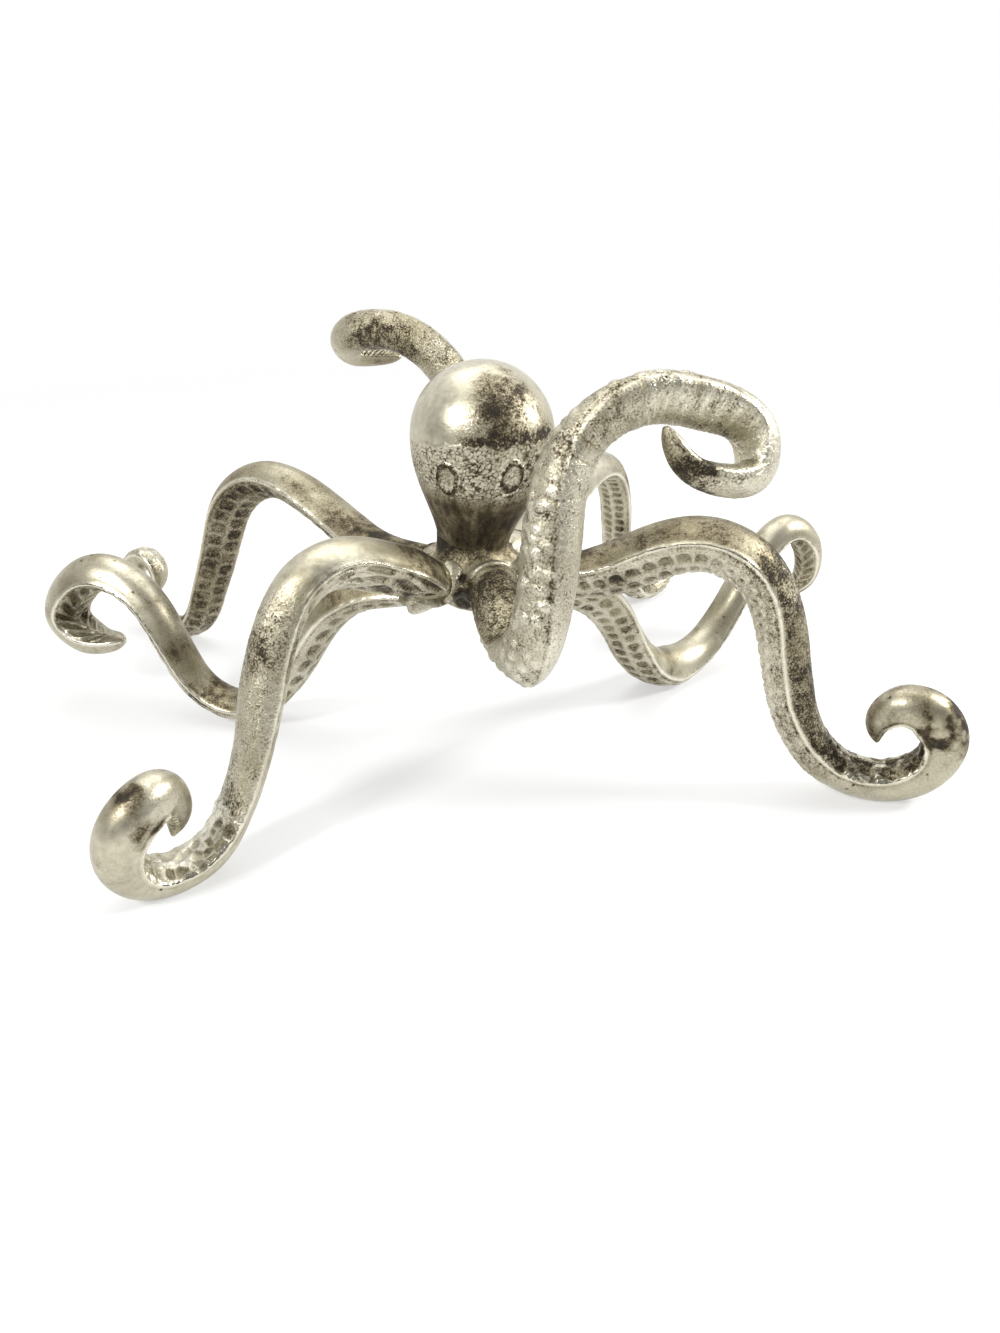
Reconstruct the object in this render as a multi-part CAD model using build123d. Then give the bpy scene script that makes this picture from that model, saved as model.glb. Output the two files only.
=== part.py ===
"""Octopus table sculpture: a cast head on a hub, with eight cast, curled arms welded round it.

Millimetres, +Z up. The origin lies on the surface it stands on, in the middle of its footprint.
"""
import os
from dataclasses import dataclass
from math import cos, pi, sin

from build123d import *

# The whole piece, mm
HUB_X = 8.2             # the hub's axis, from the middle of the footprint
HUB_Y = -47.2
HUB_MIDDLE = 92.0       # height of the ring of lobes above the table
WELD_GAP = 2.4          # thickness of each weld, between the parts that it joins
WELD_BULGE = 0.6        # how far a weld stands proud of them
OVERRUN = 60.0          # how far a cutting block runs past what it cuts

# The arms, mm
ARM_WIDTH = 24.0        # across the widest part of an arm, rim to rim
FRONT_REACH = 100.0     # each reach is from the hub's axis, each rise from the table
FRONT_RISE = 182.0
FRONT_LEFT_REACH = 170.0
FRONT_LEFT_RISE = 115.0
LEFT_REACH = 220.0
LEFT_RISE = 86.0
BACK_LEFT_REACH = 255.0
BACK_LEFT_RISE = 110.0
BACK_REACH = 130.0
BACK_RISE = 180.0
BACK_RIGHT_REACH = 240.0
BACK_RIGHT_RISE = 108.0
RIGHT_REACH = 220.0
RIGHT_RISE = 86.0
FRONT_RIGHT_REACH = 205.0
FRONT_RIGHT_RISE = 115.0

# The head, mm
HEAD_WIDTH = 59.4
NECK_WIDTH = 30.6
NECK_LENGTH = 4.0        # the straight part of the neck
HEAD_MIDDLE = 50.0       # from the neck's seat to the middle of the dome
CHEEK_POWER = 0.8        # how full the cheeks are between neck and dome; 1 is an even curve
CHEEK_STEPS = 9
DOME_STEPS = 11
CROWN_ANGLE = 1.53       # radians round the dome, up to the small flat on its crown
HEAD_LEAN = 5.4          # degrees that the dome leans to the right
NECK_SHIFT = -3.2        # the neck's middle, from the middle of the ring of arms
EYE_WIDTH = 9.5
EYE_HEIGHT = 15.0
EYE_BELOW = 11.0         # the eyes' middle, under the middle of the dome
EYE_TURN = 31.0          # degrees from the middle of the face to the middle of an eye
EYE_GROOVE = 1.8         # width of the groove that rings an eye
EYE_DEPTH = 1.1          # depth of that groove

# The hub, mm
HUB_WIDTH = 38.0
HUB_BASE_WIDTH = 32.0
HUB_FLARE_WIDTH = 33.0
HUB_THICKNESS = 24.0
HUB_SKIRT_SHARE = 0.33   # heights of the skirt, shoulder and flare, over the thickness
HUB_SHOULDER_SHARE = 0.62
HUB_FLARE_SHARE = 0.82
NECK_SEAT = 104.0        # height of the hub's top face, where the head is welded on
HUB_HOLLOW_WIDTH = 18.0  # the casting's hollow, open underneath
HUB_HOLLOW_DEPTH = 6.0

# Flat facets: round the head and hub, over an arm's back and under its belly
ROUND_FACETS = 40
BACK_FACETS = 8
BELLY_FACETS = 6
STEPS = 3                # rings of facets for each row of an arm's shares
ROOT_SHARES = (0.88, 1.20, 0.30)
LOBE_INNER_SHARE = 0.30  # where a lobe starts inside the hub, over the root's distance

# Rows of shares along each arm, from just past its root to its tip:
# out and aside, over the reach; up, from the foot's height to the rise; width, over the arm
# width; height of the back and of the belly, over half that width; roll, in quarter turns
FRONT_SHARES = (
    (0.395, 0.010, 0.505, 0.97, 1.20, 0.30, 0.05),
    (0.560, 0.016, 0.448, 0.97, 1.00, 0.50, 0.40),
    (0.724, 0.026, 0.488, 0.97, 0.90, 0.80, 0.90),
    (0.757, 0.074, 0.630, 0.97, 0.87, 0.97, 1.15),
    (0.727, 0.105, 0.750, 0.97, 0.87, 0.97, 1.20),
    (0.697, 0.146, 0.855, 0.95, 0.80, 0.95, 1.30),
    (0.683, 0.260, 0.947, 0.88, 0.65, 0.95, 1.60),
    (0.688, 0.460, 0.994, 0.80, 0.50, 0.98, 1.85),
    (0.688, 0.685, 0.974, 0.82, 0.42, 0.95, 1.80),
    (0.694, 0.876, 0.908, 0.88, 0.36, 0.98, 1.32),
    (0.732, 0.869, 0.839, 0.88, 0.34, 0.95, 1.15),
    (0.770, 0.695, 0.836, 0.82, 0.34, 0.85, 1.35),
    (0.780, 0.567, 0.872, 0.62, 0.36, 0.85, 1.38),
    (0.762, 0.487, 0.946, 0.28, 0.50, 0.90, 1.35),
)
FRONT_LEFT_SHARES = (
    (0.222, 0.000, 0.892, 1.00, 1.35, 0.30, -0.10),
    (0.310, -0.018, 0.956, 0.98, 1.40, 0.30, 0.00),
    (0.403, -0.030, 0.993, 0.97, 1.35, 0.30, 0.05),
    (0.500, -0.040, 0.940, 0.96, 1.25, 0.40, 0.05),
    (0.574, -0.040, 0.795, 0.96, 1.10, 0.45, 0.05),
    (0.630, -0.034, 0.585, 0.96, 0.95, 0.50, 0.00),
    (0.677, -0.025, 0.360, 0.96, 0.60, 0.55, 0.00),
    (0.735, -0.028, 0.144, 0.93, 0.40, 0.58, 0.00),
    (0.824, -0.030, -0.011, 0.90, 0.30, 0.82, 0.00),
    (0.959, -0.053, -0.033, 0.92, 0.24, 1.02, 0.00),
    (1.027, -0.028, 0.129, 0.92, 0.24, 1.08, 0.00),
    (0.986, 0.008, 0.341, 0.90, 0.28, 1.12, 0.00),
    (0.916, -0.006, 0.370, 0.84, 0.32, 1.25, -0.05),
    (0.872, -0.030, 0.235, 0.57, 0.40, 1.20, -0.10),
    (0.888, -0.044, 0.120, 0.20, 0.50, 1.00, -0.10),
)
LEFT_SHARES = (
    (0.194, -0.025, 0.972, 1.00, 1.25, 0.30, -0.50),
    (0.284, -0.055, 0.879, 1.02, 1.25, 0.30, -0.47),
    (0.377, -0.088, 0.562, 0.98, 1.15, 0.40, -0.42),
    (0.457, -0.122, 0.190, 0.94, 1.05, 0.40, -0.33),
    (0.555, -0.155, 0.000, 0.90, 0.95, 0.50, -0.28),
    (0.640, -0.182, 0.080, 0.90, 0.95, 0.50, -0.26),
    (0.692, -0.205, 0.276, 0.90, 1.00, 0.50, -0.22),
    (0.733, -0.228, 0.512, 0.92, 1.05, 0.40, -0.18),
    (0.787, -0.255, 0.700, 0.95, 1.15, 0.30, -0.17),
    (0.870, -0.282, 0.783, 0.98, 1.25, 0.30, -0.17),
    (0.952, -0.305, 0.660, 0.98, 1.25, 0.30, -0.17),
    (0.989, -0.308, 0.435, 0.94, 1.25, 0.30, -0.17),
    (0.934, -0.285, 0.295, 0.84, 1.15, 0.30, -0.17),
    (0.836, -0.255, 0.325, 0.40, 1.00, 0.40, -0.17),
)
BACK_LEFT_SHARES = (
    (0.205, 0.018, 0.815, 0.95, 1.20, 0.30, -0.35),
    (0.308, 0.012, 0.860, 0.98, 1.25, 0.30, -0.39),
    (0.430, 0.014, 0.976, 0.97, 1.25, 0.30, -0.42),
    (0.540, 0.029, 1.012, 0.95, 1.15, 0.30, -0.42),
    (0.627, 0.043, 0.880, 0.92, 1.05, 0.34, -0.39),
    (0.696, 0.048, 0.575, 0.84, 0.90, 0.34, -0.39),
    (0.755, 0.050, 0.300, 0.79, 0.86, 0.36, -0.39),
    (0.830, 0.056, 0.045, 0.77, 0.90, 0.40, -0.33),
    (0.925, 0.070, 0.000, 0.73, 1.00, 0.50, -0.22),
    (0.996, 0.078, 0.120, 0.71, 1.00, 0.50, -0.05),
    (1.006, 0.077, 0.286, 0.67, 1.00, 0.50, 0.00),
    (0.968, 0.066, 0.369, 0.62, 1.00, 0.50, 0.00),
    (0.930, 0.064, 0.311, 0.52, 1.00, 0.50, 0.00),
    (0.934, 0.074, 0.180, 0.28, 1.00, 0.60, 0.00),
)
BACK_SHARES = (
    (0.474, -0.055, 0.592, 0.97, 1.20, 0.30, 0.00),
    (0.646, -0.058, 0.717, 0.88, 1.10, 0.30, 0.11),
    (0.717, -0.018, 0.857, 0.82, 1.08, 0.30, 0.22),
    (0.779, 0.077, 0.948, 0.80, 1.05, 0.30, 0.33),
    (0.833, 0.190, 0.989, 0.80, 1.05, 0.30, 0.42),
    (0.903, 0.318, 0.984, 0.80, 1.10, 0.30, 0.44),
    (0.989, 0.377, 0.951, 0.75, 1.10, 0.30, 0.44),
    (1.055, 0.340, 0.911, 0.66, 1.10, 0.30, 0.44),
    (1.040, 0.235, 0.902, 0.49, 1.00, 0.35, 0.44),
    (0.985, 0.155, 0.909, 0.25, 1.00, 0.50, 0.44),
)
BACK_RIGHT_SHARES = (
    (0.299, 0.018, 0.921, 0.96, 1.20, 0.30, 0.00),
    (0.400, 0.023, 0.965, 0.92, 1.15, 0.30, 0.00),
    (0.495, 0.026, 0.998, 0.89, 1.10, 0.30, 0.00),
    (0.609, 0.020, 0.962, 0.82, 1.05, 0.35, 0.00),
    (0.686, 0.020, 0.753, 0.77, 1.00, 0.40, 0.00),
    (0.743, 0.033, 0.440, 0.74, 1.00, 0.40, 0.00),
    (0.819, 0.030, 0.145, 0.72, 1.00, 0.40, 0.00),
    (0.911, 0.020, 0.021, 0.71, 1.00, 0.40, 0.00),
    (0.985, 0.004, 0.067, 0.67, 1.00, 0.50, 0.00),
    (1.006, 0.008, 0.187, 0.62, 1.00, 0.50, 0.00),
    (0.971, 0.025, 0.266, 0.52, 1.00, 0.50, 0.00),
    (0.936, 0.033, 0.211, 0.28, 1.00, 0.60, 0.00),
)
RIGHT_SHARES = (
    (0.262, 0.003, 0.843, 0.86, 1.15, 0.30, 0.60),
    (0.356, 0.042, 0.529, 0.78, 1.12, 0.30, 0.50),
    (0.447, 0.094, 0.205, 0.90, 1.25, 0.35, 0.32),
    (0.541, 0.144, 0.047, 0.98, 1.40, 0.45, 0.15),
    (0.652, 0.178, 0.098, 0.88, 1.12, 0.40, 0.08),
    (0.744, 0.201, 0.352, 0.82, 1.00, 0.40, 0.08),
    (0.824, 0.214, 0.660, 0.82, 1.00, 0.40, 0.03),
    (0.909, 0.221, 0.828, 0.82, 1.10, 0.35, 0.00),
    (0.985, 0.219, 0.664, 0.75, 1.10, 0.35, 0.00),
    (0.978, 0.213, 0.416, 0.57, 1.00, 0.40, 0.00),
    (0.921, 0.206, 0.335, 0.28, 1.00, 0.50, 0.00),
)
FRONT_RIGHT_SHARES = (
    (0.254, 0.012, 0.848, 1.02, 1.35, 0.30, 0.52),
    (0.355, 0.010, 0.944, 1.06, 1.40, 0.30, 0.53),
    (0.452, 0.012, 0.998, 1.04, 1.40, 0.30, 0.50),
    (0.543, 0.015, 0.948, 1.02, 1.30, 0.42, 0.42),
    (0.604, 0.016, 0.813, 0.98, 1.12, 0.58, 0.28),
    (0.640, 0.015, 0.613, 0.96, 1.00, 0.78, 0.07),
    (0.668, 0.016, 0.392, 0.95, 0.88, 0.85, 0.00),
    (0.715, 0.022, 0.190, 0.95, 0.66, 0.92, 0.03),
    (0.791, 0.032, 0.045, 0.96, 0.50, 1.00, 0.10),
    (0.890, 0.044, 0.000, 0.96, 0.42, 1.10, 0.18),
    (0.966, 0.048, 0.070, 0.96, 0.38, 1.20, 0.25),
    (0.994, 0.046, 0.224, 0.93, 0.35, 1.30, 0.30),
    (0.956, 0.038, 0.350, 0.90, 0.35, 1.30, 0.33),
    (0.897, 0.038, 0.378, 0.80, 0.35, 1.20, 0.31),
    (0.854, 0.041, 0.300, 0.57, 0.40, 1.10, 0.28),
    (0.862, 0.053, 0.171, 0.20, 0.50, 1.00, 0.22),
)


@dataclass
class Arm:
    """One arm: where it leaves the hub, how far and how high it goes, and its shares."""

    bearing: float          # degrees, anticlockwise from the right
    reach: float
    rise: float
    root_share: float       # its root's distance from the hub's axis, over the arm width
    lift_share: float       # its root's height over the hub's middle, over the arm width
    roll: float             # roll of the root, in quarter turns
    foot_share: float       # height of the path where the arm stands, over the arm width
    shares: tuple


ARMS = {
    "front": Arm(284.0, FRONT_REACH, FRONT_RISE, 1.04, 0.25, 0.00, 0.0, FRONT_SHARES),
    "front_left": Arm(222.0, FRONT_LEFT_REACH, FRONT_LEFT_RISE, 1.15, 0.24, -0.10, 0.42,
                      FRONT_LEFT_SHARES),
    "left": Arm(180.0, LEFT_REACH, LEFT_RISE, 1.25, -0.31, -0.50, 0.35, LEFT_SHARES),
    "back_left": Arm(140.0, BACK_LEFT_REACH, BACK_LEFT_RISE, 1.42, -0.08, -0.33, 0.30,
                     BACK_LEFT_SHARES),
    "back": Arm(100.0, BACK_REACH, BACK_RISE, 1.42, 0.12, 0.00, 0.0, BACK_SHARES),
    "back_right": Arm(61.0, BACK_RIGHT_REACH, BACK_RIGHT_RISE, 1.42, 0.12, 0.00, 0.14,
                      BACK_RIGHT_SHARES),
    "right": Arm(22.0, RIGHT_REACH, RIGHT_RISE, 1.38, -0.26, 0.58, 0.28, RIGHT_SHARES),
    "front_right": Arm(346.0, FRONT_RIGHT_REACH, FRONT_RIGHT_RISE, 1.25, 0.12, 0.50, 0.33,
                       FRONT_RIGHT_SHARES),
}


def section_ring(centre, along, side, half, back, belly, scale=1.0):
    """Corners of a slice across an arm, from one rim over the back and round the belly."""
    normal = side.cross(along)
    centre = centre - normal * (half * (back - belly) / 2)
    corners = []
    for facet in range(BACK_FACETS + BELLY_FACETS):
        if facet < BACK_FACETS:
            angle = pi * facet / BACK_FACETS
            height = half * back * sin(angle)
        else:
            angle = pi + pi * (facet - BACK_FACETS) / BELLY_FACETS
            height = half * belly * sin(angle)
        offset = side * (half * cos(angle)) + normal * height
        corners.append(centre + offset * scale)
    return corners


def arm_rings(arm):
    """Rings of corners from an arm's root to its tip, and the direction that its root faces."""
    foot = ARM_WIDTH * arm.foot_share
    out = Vector(1, 0, 0).rotate(Axis.Z, arm.bearing)
    aside = Vector(0, 1, 0).rotate(Axis.Z, arm.bearing)
    root = out * (ARM_WIDTH * arm.root_share) \
        + Vector(0, 0, HUB_MIDDLE + ARM_WIDTH * arm.lift_share)
    points = [root]
    sections = [(*ROOT_SHARES, arm.roll)]
    for out_share, aside_share, up_share, *section in arm.shares:
        height = foot + (arm.rise - foot) * up_share
        points.append((out * out_share + aside * aside_share) * arm.reach
                      + Vector(0, 0, height))
        sections.append(section)
    path = Spline(*points)
    marks = [path.param_at_point(point) for point in points]
    side = -aside
    rings = []
    for index in range(STEPS * (len(points) - 1) + 1):
        row, step = divmod(index, STEPS)
        share = step / STEPS
        after = min(row + 1, len(points) - 1)
        mark = marks[row] + (marks[after] - marks[row]) * share
        width, back, belly, roll = [a + (b - a) * share
                                    for a, b in zip(sections[row], sections[after])]
        along = path.tangent_at(mark)
        side = (side - along * side.dot(along)).normalized()
        turned = side * cos(pi / 2 * roll) + side.cross(along) * sin(pi / 2 * roll)
        rings.append((path.position_at(mark), along, turned, ARM_WIDTH / 2 * width,
                      back, belly))
    return rings


def skin(rings):
    """A solid with flat facets between rings of corners, and a flat face at each end."""
    facets = [Face(Wire.make_polygon(rings[0])), Face(Wire.make_polygon(rings[-1]))]
    for ring, after in zip(rings, rings[1:]):
        for corner in range(len(ring)):
            a, b = ring[corner - 1], ring[corner]
            c, d = after[corner], after[corner - 1]
            facets.append(Face(Wire.make_polygon([a, b, c])))
            facets.append(Face(Wire.make_polygon([a, c, d])))
    return Solid(Shell(facets))


def make_arm(arm):
    """An arm, cut flat where it stands on the table."""
    body = skin([section_ring(*ring) for ring in arm_rings(arm)])
    table = Box(4 * arm.reach, 4 * arm.reach, OVERRUN,
                align=(Align.CENTER, Align.CENTER, Align.MAX))
    return body - table


def make_weld(arm):
    """The bead between a lobe of the hub and the root of an arm."""
    centre, along, side, half, back, belly = arm_rings(arm)[0]
    proud = 1 + WELD_BULGE / half
    rings = []
    for behind, scale in ((WELD_GAP, 1.0), (WELD_GAP / 2, proud), (0.0, 1.0)):
        rings.append(section_ring(centre - along * behind, along, side, half, back, belly,
                                  scale))
    return skin(rings)


def make_lobe(arm):
    """A lobe of the hub, from inside the hub out to the face that a weld sits on."""
    centre, along, side, half, back, belly = arm_rings(arm)[0]
    seat = section_ring(centre - along * WELD_GAP, along, side, half, back, belly)
    middle = Vector(0, 0, HUB_MIDDLE)
    inner = [middle + (corner - middle) * LOBE_INNER_SHARE for corner in seat]
    return skin([inner, seat])


def round_ring(radius, height):
    """Corners of a level, round slice about Z."""
    return [Vector(radius, 0, height).rotate(Axis.Z, 360 * side / ROUND_FACETS)
            for side in range(ROUND_FACETS)]


def make_hub():
    """The hub: a turned body with a collar for the neck, a hollow under it and eight lobes."""
    base = NECK_SEAT - HUB_THICKNESS
    body = Pos(NECK_SHIFT, 0, 0) * skin([
        round_ring(HUB_BASE_WIDTH / 2, base),
        round_ring(HUB_WIDTH / 2, base + HUB_THICKNESS * HUB_SKIRT_SHARE),
        round_ring(HUB_WIDTH / 2, base + HUB_THICKNESS * HUB_SHOULDER_SHARE),
        round_ring(HUB_FLARE_WIDTH / 2, base + HUB_THICKNESS * HUB_FLARE_SHARE),
        round_ring(NECK_WIDTH / 2, NECK_SEAT),
    ])
    for arm in ARMS.values():
        body = body + make_lobe(arm)
    hollow = Pos(NECK_SHIFT, 0, 0) * skin([
        round_ring(HUB_HOLLOW_WIDTH / 2, base - HUB_HOLLOW_DEPTH),
        round_ring(HUB_HOLLOW_WIDTH / 2, base),
        round_ring(HUB_HOLLOW_WIDTH / 3, base + HUB_HOLLOW_DEPTH),
    ])
    return body - hollow


def head_body(inset):
    """The head about its own axis: neck, cheeks and domed crown, brought in by an inset."""
    neck = NECK_WIDTH / 2 - inset
    radius = HEAD_WIDTH / 2 - inset
    rings = [round_ring(neck, -NECK_LENGTH)]
    for step in range(CHEEK_STEPS):
        share = step / CHEEK_STEPS
        swell = sin(pi / 2 * share ** CHEEK_POWER) ** 2
        rings.append(round_ring(neck + (radius - neck) * swell,
                                NECK_LENGTH + (HEAD_MIDDLE - NECK_LENGTH) * share))
    for step in range(DOME_STEPS + 1):
        angle = CROWN_ANGLE * step / DOME_STEPS
        rings.append(round_ring(radius * cos(angle), HEAD_MIDDLE + radius * sin(angle)))
    return skin(rings)


def make_head():
    """The head with a ringed eye on each side of its face, cut level where it is welded."""
    head = head_body(0.0)
    core = head_body(EYE_DEPTH)
    ring = Ellipse(EYE_WIDTH / 2, EYE_HEIGHT / 2) \
        - Ellipse(EYE_WIDTH / 2 - EYE_GROOVE, EYE_HEIGHT / 2 - EYE_GROOVE)
    for turn in (-EYE_TURN, EYE_TURN):
        gaze = Vector(0, -1, 0).rotate(Axis.Z, turn)
        across = Vector(1, 0, 0).rotate(Axis.Z, turn)
        face = Plane(Vector(0, 0, HEAD_MIDDLE - EYE_BELOW), x_dir=across, z_dir=gaze)
        head = head - (extrude(face * ring, HEAD_WIDTH) - core)
    head = Pos(NECK_SHIFT, 0, NECK_SEAT) * Rot(0, HEAD_LEAN, 0) * head
    under = Pos(NECK_SHIFT, 0, NECK_SEAT + WELD_GAP) * Box(
        2 * HEAD_WIDTH, 2 * HEAD_WIDTH, OVERRUN,
        align=(Align.CENTER, Align.CENTER, Align.MAX))
    return head - under


def make_neck_weld():
    """The bead between the hub's collar and the neck."""
    radius = NECK_WIDTH / 2
    return Pos(NECK_SHIFT, 0, NECK_SEAT) * skin([
        round_ring(radius, 0),
        round_ring(radius + WELD_BULGE, WELD_GAP / 2),
        round_ring(radius, WELD_GAP),
    ])


def make_parts():
    """Every piece, by the name of its file, placed about the hub's axis."""
    parts = {"head": make_head(), "hub": make_hub(), "neck_weld": make_neck_weld()}
    for name, arm in ARMS.items():
        parts[name + "_arm"] = make_arm(arm)
        parts[name + "_weld"] = make_weld(arm)
    return parts


os.makedirs("parts", exist_ok=True)
for name, part in make_parts().items():
    export_step(Pos(HUB_X, HUB_Y, 0) * part, f"parts/{name}.step")
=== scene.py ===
"""Octopus table sculpture: a cast head and eight cast, curled arms, welded round a hub."""

import bpy
import mathutils
import numpy as np
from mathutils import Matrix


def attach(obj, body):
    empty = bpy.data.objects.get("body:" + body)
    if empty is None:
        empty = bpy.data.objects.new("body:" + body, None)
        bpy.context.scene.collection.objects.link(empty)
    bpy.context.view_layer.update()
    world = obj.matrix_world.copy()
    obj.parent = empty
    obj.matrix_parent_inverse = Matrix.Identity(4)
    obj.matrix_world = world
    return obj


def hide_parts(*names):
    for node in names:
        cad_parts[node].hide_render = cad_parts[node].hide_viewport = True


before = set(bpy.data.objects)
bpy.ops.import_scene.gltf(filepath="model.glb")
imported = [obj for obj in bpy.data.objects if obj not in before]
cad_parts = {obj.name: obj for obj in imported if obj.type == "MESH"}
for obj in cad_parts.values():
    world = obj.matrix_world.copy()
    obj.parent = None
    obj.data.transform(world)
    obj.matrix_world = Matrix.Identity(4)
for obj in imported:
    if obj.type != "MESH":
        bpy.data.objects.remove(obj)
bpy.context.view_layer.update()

# The arms: eight solid sand castings in bright metal, each with a smooth rounded back and a belly
# of suckers between two raised rims. Each was cast by itself, bent and curled while hot, chased
# with a small punch at its foot, and left brown in its hollows.
MM = 0.001  # in metres
HUB_SPOT = (8.2, -47.2)  # the hub's axis on the table, mm
HUB_MIDDLE = 92.0  # height of the ring of roots, mm
ARM_WIDTH = 24.0  # across the widest part of an arm, mm
STATIONS = 560  # rings of points along an arm
ROW_BLEND = 7  # stations to each side over which the rows' widths are blended
ROW_FADE = 0.7  # rows over which one pattern gives way to the next
BACK_POINTS = 56  # points of a ring over the back, and under the belly
BELLY_POINTS = 72
TIP_LENGTH = 9.0  # length over which an arm ends in a claw, mm
TIP_POWER = 2.2

# For each arm: bearing in degrees, reach and rise in mm, the root's distance and lift over the arm
# width, and the height of its foot over that width
ARM_PLACES = {
    "front": (284, 100, 182, 1.04, 0.25, 0),
    "front_left": (222, 170, 115, 1.15, 0.24, 0.42),
    "left": (180, 220, 86, 1.25, -0.31, 0.35),
    "back_left": (140, 255, 110, 1.42, -0.08, 0.30),
    "back": (100, 130, 180, 1.42, 0.12, 0),
    "back_right": (61, 240, 108, 1.42, 0.12, 0.14),
    "right": (22, 220, 86, 1.38, -0.26, 0.28),
    "front_right": (346, 205, 115, 1.25, 0.12, 0.33),
}
# Rows of shares along an arm, root first: out and aside over the reach, up from the foot to the
# rise, width over the arm width, back and belly over half that width, roll in quarter turns. The
# root's own out, aside and up come from its place. The front left, left and right arms are rolled
# further than their solids are.
ARM_ROWS = {}
ARM_ROWS["front"] = (
    (0, 0, 0, 0.88, 1.2, 0.3, 0),
    (0.395, 0.010, 0.505, 0.97, 1.2, 0.3, 0.05),
    (0.560, 0.016, 0.448, 0.97, 1, 0.5, 0.4),
    (0.724, 0.026, 0.488, 0.97, 0.9, 0.8, 0.9),
    (0.757, 0.074, 0.630, 0.97, 0.87, 0.97, 1.15),
    (0.727, 0.105, 0.750, 0.97, 0.87, 0.97, 1.2),
    (0.697, 0.146, 0.855, 0.95, 0.8, 0.95, 1.3),
    (0.683, 0.260, 0.947, 0.88, 0.65, 0.95, 1.6),
    (0.688, 0.460, 0.994, 0.8, 0.5, 0.98, 1.85),
    (0.688, 0.685, 0.974, 0.82, 0.42, 0.95, 1.8),
    (0.694, 0.876, 0.908, 0.88, 0.36, 0.98, 1.32),
    (0.732, 0.869, 0.839, 0.88, 0.34, 0.95, 1.15),
    (0.770, 0.695, 0.836, 0.82, 0.34, 0.85, 1.35),
    (0.780, 0.567, 0.872, 0.62, 0.36, 0.85, 1.38),
    (0.762, 0.487, 0.946, 0.28, 0.5, 0.9, 1.35),
)
ARM_ROWS["front_left"] = (
    (0, 0, 0, 0.88, 1.2, 0.3, -0.2),
    (0.222, 0.000, 0.892, 1, 1.35, 0.3, -0.36),
    (0.310, -0.018, 0.956, 0.98, 1.4, 0.3, -0.42),
    (0.403, -0.030, 0.993, 0.97, 1.35, 0.3, -0.42),
    (0.500, -0.040, 0.940, 0.96, 1.25, 0.4, -0.3),
    (0.574, -0.040, 0.795, 0.96, 1.1, 0.45, -0.14),
    (0.630, -0.034, 0.585, 0.96, 0.95, 0.5, 0),
    (0.677, -0.025, 0.360, 0.96, 0.6, 0.55, 0),
    (0.735, -0.028, 0.144, 0.93, 0.4, 0.58, 0),
    (0.824, -0.030, -0.011, 0.9, 0.3, 0.82, 0),
    (0.959, -0.053, -0.033, 0.92, 0.24, 1.02, 0),
    (1.027, -0.028, 0.129, 0.92, 0.24, 1.08, 0),
    (0.986, 0.008, 0.341, 0.9, 0.28, 1.12, 0),
    (0.916, -0.006, 0.370, 0.84, 0.32, 1.25, -0.05),
    (0.872, -0.030, 0.235, 0.57, 0.4, 1.2, -0.1),
    (0.888, -0.044, 0.120, 0.2, 0.5, 1, -0.1),
)
ARM_ROWS["left"] = (
    (0, 0, 0, 0.74, 1.2, 0.3, -0.3),
    (0.194, -0.025, 0.972, 0.96, 1.25, 0.3, -0.28),
    (0.284, -0.055, 0.879, 1.02, 1.25, 0.3, -0.2),
    (0.377, -0.088, 0.562, 0.98, 1.15, 0.4, -0.14),
    (0.457, -0.122, 0.190, 0.94, 1.05, 0.4, -0.14),
    (0.555, -0.155, 0.000, 0.9, 0.95, 0.5, -0.2),
    (0.640, -0.182, 0.080, 0.9, 0.95, 0.5, -0.24),
    (0.692, -0.205, 0.276, 0.9, 1, 0.5, -0.22),
    (0.733, -0.228, 0.512, 0.92, 1.05, 0.4, -0.18),
    (0.787, -0.255, 0.700, 0.95, 1.15, 0.3, -0.17),
    (0.870, -0.282, 0.783, 0.98, 1.25, 0.3, -0.17),
    (0.952, -0.305, 0.660, 0.98, 1.25, 0.3, -0.17),
    (0.989, -0.308, 0.435, 0.94, 1.25, 0.3, -0.17),
    (0.934, -0.285, 0.295, 0.84, 1.15, 0.3, -0.17),
    (0.836, -0.255, 0.325, 0.4, 1, 0.4, -0.17),
)
ARM_ROWS["back_left"] = (
    (0, 0, 0, 0.88, 1.2, 0.3, -0.33),
    (0.205, 0.018, 0.815, 0.95, 1.2, 0.3, -0.35),
    (0.308, 0.012, 0.860, 0.98, 1.25, 0.3, -0.39),
    (0.430, 0.014, 0.976, 0.97, 1.25, 0.3, -0.42),
    (0.540, 0.029, 1.012, 0.95, 1.15, 0.3, -0.42),
    (0.627, 0.043, 0.880, 0.92, 1.05, 0.34, -0.39),
    (0.696, 0.048, 0.575, 0.84, 0.9, 0.34, -0.39),
    (0.755, 0.050, 0.300, 0.79, 0.86, 0.36, -0.39),
    (0.830, 0.056, 0.045, 0.77, 0.9, 0.4, -0.33),
    (0.925, 0.070, 0.000, 0.73, 1, 0.5, -0.22),
    (0.996, 0.078, 0.120, 0.71, 1, 0.5, -0.05),
    (1.006, 0.077, 0.286, 0.67, 1, 0.5, 0),
    (0.968, 0.066, 0.369, 0.62, 1, 0.5, 0),
    (0.930, 0.064, 0.311, 0.52, 1, 0.5, 0),
    (0.934, 0.074, 0.180, 0.28, 1, 0.6, 0),
)
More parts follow.
